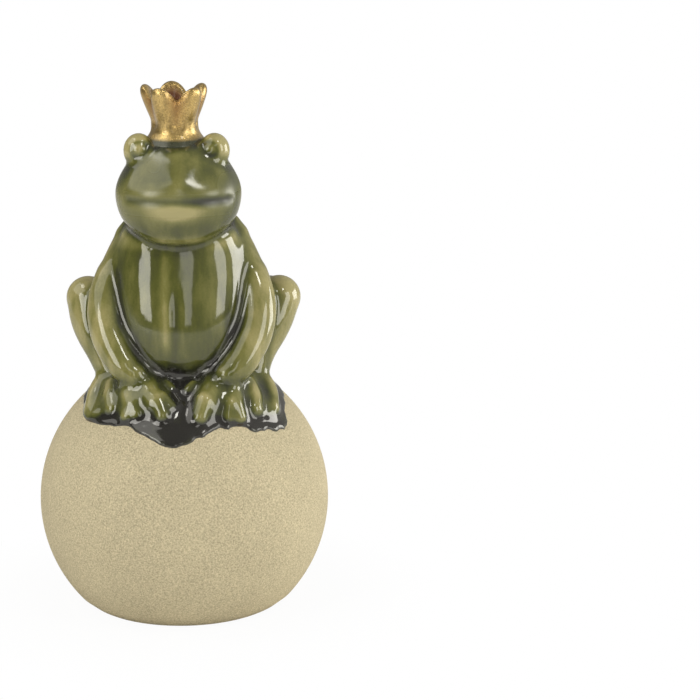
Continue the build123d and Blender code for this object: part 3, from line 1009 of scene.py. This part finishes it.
def stoneware_material(settings):
    """Bare sandy clay: matt, with fine grains and faint stains."""
    material, shader = new_material("bare stoneware")
    place = shader.node("ShaderNodeTexCoord", {}, out="Object")
    grains = shader.noise(place, GRAIN_CELLS, 2, 0.6)
    stains = shader.noise(place, STAIN_CELLS, 4)
    pits = shader.node(
        "ShaderNodeTexVoronoi", {"feature": "F1"}, Vector=place, Scale=PIT_CELLS, out="Distance"
    )
    dark = shader.scale_colour(settings.stoneware, DARK_GRAIN)
    pale = shader.scale_colour(settings.stoneware, PALE_GRAIN)
    share = (grains - 0.5) * GRAIN_CONTRAST + (stains - 0.5) * STAIN_CONTRAST + 0.5
    colour = shader.mix(share.clamp(), dark, pale)
    height = grains * GRAIN_RISE + pits * PIT_RISE
    bump = shader.bump(height, STONE_BUMP, STONE_HEIGHT)
    skin = shader.node(
        "ShaderNodeBsdfPrincipled", {}, Base_Color=colour, Roughness=STONE_ROUGHNESS,
        Specular_IOR_Level=STONE_SHINE, Normal=bump,
    )
    shader.node("ShaderNodeOutputMaterial", {}, skin)
    return material


def gold_material(settings):
    """Fired gold lustre, grainy, olive towards the foot and red-brown inside."""
    material, shader = new_material("gold lustre")
    place = shader.node("ShaderNodeTexCoord", {}, out="Object")
    inside = shader.attribute("inside")
    foot = shader.attribute("foot")
    fold = shader.attribute("fold")
    specks = shader.noise(place, GOLD_SPECK_CELLS, 3, 0.75)
    streaks_place = shader.node("ShaderNodeMapping", {}, place, Scale=(1, 1, STREAK_LENGTH))
    streaks = shader.noise(streaks_place, STREAK_CELLS, 2)
    grain = (specks - 0.5) * GOLD_SPECK_CONTRAST + (streaks - 0.5) * STREAK_CONTRAST + GOLD_GRAIN
    grain = grain.clamp()
    dark = shader.scale_colour(settings.gold, DARK_GOLD)
    pale = shader.scale_colour(settings.gold, PALE_GOLD)
    metal = shader.mix(grain, dark, pale)
    metal = shader.mix((fold * FOLD_COLOUR).clamp(), metal, (*settings.gold_folds, 1))
    glazed = foot * FOOT_COLOUR + (streaks - 0.5) * FOOT_STREAKS - FOOT_START
    metal = shader.mix(glazed.clamp(), metal, (*settings.deep_glaze, 1))
    colour = shader.mix(inside, metal, (*settings.cup_inside, 1))
    bump = shader.bump(specks, GOLD_BUMP, GOLD_HEIGHT)
    metallic = (GOLD_METAL - inside * INSIDE_METAL_LOST - foot * FOOT_METAL_LOST).clamp()
    skin = shader.node(
        "ShaderNodeBsdfPrincipled", {}, Base_Color=colour, Metallic=metallic,
        Roughness=GOLD_ROUGHNESS - grain * GRAIN_GLOSS, Coat_Weight=GOLD_COAT, Coat_Roughness=COAT_ROUGHNESS,
        Normal=bump,
    )
    shader.node("ShaderNodeOutputMaterial", {}, skin)
    return material


def keep_clay(objects, node):
    """Join the lumps of one clay piece and keep them for the skin."""
    return join(objects, "clay_" + node)


def fused(clay, settings):
    """Fuse copies of the clay pieces under one smooth skin of glaze, with its creases filled and its face."""
    copies = []
    for piece in clay:
        twin = piece.copy()
        twin.data = piece.data.copy()
        bpy.context.scene.collection.objects.link(twin)
        copies.append(twin)
    skin = join(copies, "skin")
    for distance in (settings.fillet, -settings.fillet):
        remesh(skin, settings.grain)
        swell(skin, distance)
    places, _, edges = read_mesh(skin.data)
    write_places(skin.data, smoothed(places, edges, settings.smoothing))
    places, _, edges = read_mesh(skin.data)
    write_places(skin.data, melted(places, edges))
    for rounds in CREASE_ROUNDS:
        write_places(skin.data, creases_filled(*read_mesh(skin.data), rounds))
    write_places(skin.data, sculpted(*read_mesh(skin.data)))
    return skin


def paint(skin):
    """Keep the glaze's depth, with its painted shade and light, and its dullness, and the skin's normals,
    with its vertices.
    """
    places, normals, edges = read_mesh(skin.data)
    for name, values in (("glaze", glaze_depth_and_painted_light(places, normals, edges)), ("dull", dullness(places))):
        skin.data.attributes.new(name, "FLOAT", "POINT").data.foreach_set("value", values)
    kept_normal = skin.data.attributes.new("skin_normal", "FLOAT_VECTOR", "POINT")
    kept_normal.data.foreach_set("vector", normals.ravel())


def cut_apart(skin, clay):
    """Cut the skin where one piece of clay under it meets the next, and drop what is buried in the ball."""
    places, _, edges = read_mesh(skin.data)
    reach = np.linalg.norm(places - np.array(BALL_CENTRE), axis=1)
    buried = reach < BALL_RADIUS - BURIED_DEPTH
    owners = face_owners(skin.data, owner_scores(places, edges, clay), buried)
    skin.data.materials.clear()
    for node in CLAY_NODES + ("buried",):
        skin.data.materials.append(bpy.data.materials.new("cut_" + node))
    for face in skin.data.polygons:
        face.material_index = int(owners[face.index])
        face.use_smooth = True
    deselect()
    skin.select_set(True)
    bpy.context.view_layer.objects.active = skin
    bpy.ops.object.mode_set(mode="EDIT")
    bpy.ops.mesh.separate(type="MATERIAL")
    bpy.ops.object.mode_set(mode="OBJECT")
    found = list(bpy.context.selected_objects)
    pieces = {piece.data.materials[0].name.removeprefix("cut_"): piece for piece in found}
    bpy.data.objects.remove(pieces.pop("buried"))
    for piece in pieces.values():
        piece.data.materials.clear()
    for material in [marker for marker in bpy.data.materials if marker.name.startswith("cut_")]:
        bpy.data.materials.remove(material)
    return pieces


def keep_normals(piece):
    """Shade a cut piece by the whole skin's normals, so that no seam shows."""
    vectors = np.empty(len(piece.data.vertices) * 3)
    piece.data.attributes["skin_normal"].data.foreach_get("vector", vectors)
    piece.data.normals_split_custom_set_from_vertices(vectors.reshape(-1, 3).tolist())


class FROG_OT_body(bpy.types.Operator):
    """Throw the frog's body and head."""

    bl_idname = "frog.body"
    bl_label = "Body and head"

    def execute(self, context):
        keep_clay([potted(TORSO_RINGS, TORSO_SQUARENESS)], "torso")
        keep_clay([potted(HEAD_RINGS, HEAD_SQUARENESS)], "head")
        return {"FINISHED"}


class FROG_OT_eyes(bpy.types.Operator):
    """Press on the eyes, each a dome with a round pupil."""

    bl_idname = "frog.eyes"
    bl_label = "Eyes"

    def execute(self, context):
        for name, side in SIDES:
            dome = lump(Vector(EYE_PLACES[side]) * MM, EYE_RADIUS * MM, (1, 1, EYE_TALLNESS))
            pupil = lump(Vector(PUPIL_PLACES[side]) * MM, PUPIL_RADIUS * MM)
            keep_clay([dome, pupil], name + "_eye")
        return {"FINISHED"}


class FROG_OT_limbs(bpy.types.Operator):
    """Roll the arms, thighs and shins."""

    bl_idname = "frog.limbs"
    bl_label = "Arms and legs"

    def execute(self, context):
        for name, side in SIDES:
            for part, stations in (("arm", ARM_STATIONS), ("thigh", THIGH_STATIONS), ("shin", SHIN_STATIONS)):
                sway = SHIN_SWAY if part == "shin" else 0
                keep_clay(roll(*mirrored(stations, side, sway)), f"{name}_{part}")
        return {"FINISHED"}


class FROG_OT_digits(bpy.types.Operator):
    """Lay the fingers and toes on the ball, with a pad of clay under each hand and foot."""

    bl_idname = "frog.digits"
    bl_label = "Hands and feet"

    def execute(self, context):
        for name, side in SIDES:
            fingers = LEFT_FINGERS if side > 0 else RIGHT_FINGERS
            toes = LEFT_TOES if side > 0 else RIGHT_TOES
            for part, table, webs in (("hand", fingers, HAND_WEBS), ("foot", toes, FOOT_WEBS)):
                pads = [pad(polar, turn * side, radius, thick) for polar, turn, radius, thick in webs]
                keep_clay(digits(table) + pads, f"{name}_{part}")
        return {"FINISHED"}


class FROG_OT_skin(bpy.types.Operator):
    """Fuse the clay under one skin of glaze, and cut that skin into the frog's pieces."""

    bl_idname = "frog.skin"
    bl_label = "Glazed skin"

    def execute(self, context):
        keep_clay([pool_clay()], "glaze_pool")
        clay = [bpy.data.objects["clay_" + node] for node in CLAY_NODES]
        skin = fused(clay, context.scene.frog_clay)
        paint(skin)
        pieces = cut_apart(skin, clay)
        green = glaze_material("green glaze", context.scene.frog_finish)
        dark = glaze_material("dark glaze", context.scene.frog_finish)
        for node, piece in pieces.items():
            is_pool = node == "glaze_pool"
            back_with_shell(piece, on_the_ball if is_pool else under_the_skin)
            keep_normals(piece)
            dress(piece, node, dark if is_pool else green)
        for piece in clay:
            bpy.data.objects.remove(piece)
        return {"FINISHED"}


class FROG_OT_crown(bpy.types.Operator):
    """Throw the crown: a flared cup whose rim runs out in five round points."""

    bl_idname = "frog.crown"
    bl_label = "Crown"

    def execute(self, context):
        deselect()
        bpy.ops.mesh.primitive_uv_sphere_add(segments=CROWN_TURNS, ring_count=CROWN_RINGS, radius=1)
        cup = bpy.context.object
        way_steps, radius_steps, height_steps, lobe_steps = np.array(CROWN_PROFILE).T
        inside, foot, fold = [], [], []
        for vertex in cup.data.vertices:
            way = math.acos(max(-1, min(1, -vertex.co.z))) / math.pi
            turn = math.degrees(math.atan2(vertex.co.x, -vertex.co.y))
            phase = math.radians((turn - CROWN_FIRST_POINT) * CROWN_POINTS)
            wave = 0.5 + 0.5 * math.cos(phase)
            lobe = wave ** CROWN_ROUNDNESS
            share = np.interp(way, way_steps, lobe_steps)
            radius = np.interp(way, way_steps, radius_steps) + share * CROWN_LEAN * (lobe - 1)
            fold.append((1 - wave) ** FLUTE_NARROWNESS * share * (way < CROWN_RIM))
            radius -= CROWN_FLUTE * fold[-1]
            height = np.interp(way, way_steps, height_steps) + share * CROWN_VALLEY * (lobe - 1)
            around = math.radians(turn)
            vertex.co = (
                (CROWN_PLACE[0] + radius * math.sin(around)) * MM,
                (CROWN_PLACE[1] - radius * math.cos(around)) * MM,
                (CROWN_PLACE[2] + height) * MM,
            )
            inside.append(float(ease(way, *CROWN_INSIDE)))
            foot.append(float(ease(height, *CROWN_FOOT)) * (1 - inside[-1]))
        for name, values in (("inside", inside), ("foot", foot), ("fold", fold)):
            cup.data.attributes.new(name, "FLOAT", "POINT").data.foreach_set("value", values)
        join([cup], "crown_cup")
        places, _, edges = read_mesh(cup.data)
        write_places(cup.data, smoothed(places, edges, CROWN_BLUR))
        bpy.ops.object.shade_smooth()
        dress(cup, "crown", gold_material(context.scene.frog_finish))
        return {"FINISHED"}


class FROG_OT_ball(bpy.types.Operator):
    """Turn the hollow ball on its profile, with its foot, its vent and its opening at the top."""

    bl_idname = "frog.ball"
    bl_label = "Ball"

    def execute(self, context):
        deselect()
        bpy.ops.mesh.primitive_torus_add(major_segments=BALL_TURNS, minor_segments=BALL_STEPS)
        ball = bpy.context.object
        profile = ball_profile()
        for index, vertex in enumerate(ball.data.vertices):
            radius, height = profile[index % BALL_STEPS]
            turn = 2 * math.pi * (index // BALL_STEPS) / BALL_TURNS
            vertex.co = (radius * math.cos(turn) * MM, radius * math.sin(turn) * MM, height * MM)
        deselect()
        ball.select_set(True)
        context.view_layer.objects.active = ball
        bpy.ops.object.mode_set(mode="EDIT")
        bpy.ops.mesh.select_all(action="SELECT")
        bpy.ops.mesh.normals_make_consistent(inside=False)
        bpy.ops.object.mode_set(mode="OBJECT")
        bpy.ops.object.shade_smooth_by_angle(angle=math.radians(BALL_SHARPNESS))
        join([ball], "ball_turned")
        dress(ball, "ball_base", stoneware_material(context.scene.frog_finish))
        return {"FINISHED"}


class FROG_OT_stage(bpy.types.Operator):
    """Set up the floor, the lamps, the room's light and the camera."""

    bl_idname = "frog.stage"
    bl_label = "Stage"

    def execute(self, context):
        studio = context.scene.frog_studio
        deselect()
        bpy.ops.mesh.primitive_plane_add(size=FLOOR_SIZE, location=(0, 0, 0))
        floor = context.object
        floor.name = "floor"
        material, shader = new_material("white floor")
        place = shader.node("ShaderNodeTexCoord", {}, out="Object")
        away = shader.node("ShaderNodeVectorMath", {"operation": "LENGTH"}, place, out="Value")
        plain = shader.node("ShaderNodeBsdfDiffuse", {}, Color=(FLOOR_GREY, FLOOR_GREY, FLOOR_GREY, 1))
        bright = shader.node("ShaderNodeEmission", {}, Color=(1, 1, 1, 1), Strength=1)
        seen = shader.node("ShaderNodeLightPath", {}, out="Is Camera Ray")
        share = (seen * shader.node("ShaderNodeMapRange", {}, away, *FLOOR_FADE)).clamp()
        surface = shader.node("ShaderNodeMixShader", {}, share, plain, bright)
        shader.node("ShaderNodeOutputMaterial", {}, surface)
        floor.data.materials.append(material)
        for name, turn, rise, width, height, away_from, radiance in LAMPS:
            self.add_lamp(name, turn, rise, width, height, away_from, radiance * studio.lamp_strength)
        world = bpy.data.worlds.new("studio")
        context.scene.world = world
        world.use_nodes = True
        shader = Shader(world.node_tree)
        direction = shader.node("ShaderNodeTexCoord", {}, out="Generated")
        across, deep, high = (
            shader.node("ShaderNodeSeparateXYZ", {}, direction, out=axis) for axis in ("X", "Y", "Z")
        )
        behind = shader.node("ShaderNodeMapRange", {}, deep, *BEHIND_LIGHT)
        above = shader.node("ShaderNodeMapRange", {}, high, *ABOVE_LIGHT)
        right = shader.node("ShaderNodeMapRange", {}, across, *RIGHT_LIGHT)
        room = (behind + above + right + studio.fill).clamp()
        camera_ray = shader.node("ShaderNodeLightPath", {}, out="Is Camera Ray")
        strength = (camera_ray + (1 - camera_ray) * room).clamp()
        colour = shader.mix(camera_ray, (*DAYLIGHT, 1), (1, 1, 1, 1))
        light = shader.node("ShaderNodeBackground", {}, colour, strength)
        shader.node("ShaderNodeOutputWorld", {}, light)
        context.scene.view_settings.view_transform = "Standard"
        deselect()
        bpy.ops.object.camera_add(location=CAMERA_PLACE, rotation=CAMERA_TURN)
        camera = context.object
        camera.name = "camera"
        camera.data.lens = CAMERA_LENS
        camera.data.sensor_width = SENSOR_WIDTH
        context.scene.camera = camera
        return {"FINISHED"}

    def add_lamp(self, name, turn, rise, width, height, away_from, radiance):
        """A flat lamp that looks at the frog, as bright per area as its radiance says."""
        around, up = math.radians(turn), math.radians(rise)
        direction = Vector((math.sin(around) * math.cos(up), -math.cos(around) * math.cos(up), math.sin(up)))
        deselect()
        bpy.ops.object.light_add(
            type="AREA", location=LAMP_TARGET + direction * away_from,
            rotation=direction.to_track_quat("Z", "Y").to_euler(),
        )
        lamp = bpy.context.object
        lamp.name = name
        lamp.data.shape = "RECTANGLE"
        lamp.data.color = DAYLIGHT
        lamp.data.size, lamp.data.size_y = width, height
        lamp.data.energy = radiance * math.pi * width * height


class FROG_PT_panel(bpy.types.Panel):
    """The frog's sizes, finishes and pieces."""

    bl_idname = "FROG_PT_panel"
    bl_label = "Crowned frog"
    bl_space_type = "VIEW_3D"
    bl_region_type = "UI"
    bl_category = "Frog"

    def draw(self, context):
        for group in (context.scene.frog_clay, context.scene.frog_finish, context.scene.frog_studio):
            box = self.layout.box()
            for name in group.bl_rna.properties.keys():
                if name not in ("rna_type", "name"):
                    box.prop(group, name)
        for operator in OPERATORS:
            self.layout.operator(operator.bl_idname)


OPERATORS = (
    FROG_OT_body, FROG_OT_eyes, FROG_OT_limbs, FROG_OT_digits, FROG_OT_skin, FROG_OT_crown, FROG_OT_ball,
    FROG_OT_stage,
)
SETTINGS = (
    ("frog_clay", FrogClaySettings), ("frog_finish", FrogFinishSettings), ("frog_studio", FrogStudioSettings)
)


def register():
    """Make the settings, operators and panel known."""
    for name, group in SETTINGS:
        bpy.utils.register_class(group)
        setattr(bpy.types.Scene, name, PointerProperty(type=group))
    for operator in OPERATORS:
        bpy.utils.register_class(operator)
    bpy.utils.register_class(FROG_PT_panel)


def unregister():
    """Take the settings, operators and panel away."""
    bpy.utils.unregister_class(FROG_PT_panel)
    for operator in OPERATORS:
        bpy.utils.unregister_class(operator)
    for name, group in SETTINGS:
        delattr(bpy.types.Scene, name)
        bpy.utils.unregister_class(group)


def main():
    """Make every piece and the stage."""
    register()
    for make in (
        bpy.ops.frog.body, bpy.ops.frog.eyes, bpy.ops.frog.limbs, bpy.ops.frog.digits, bpy.ops.frog.skin,
        bpy.ops.frog.crown, bpy.ops.frog.ball, bpy.ops.frog.stage,
    ):
        make()


if __name__ == "__main__":
    main()
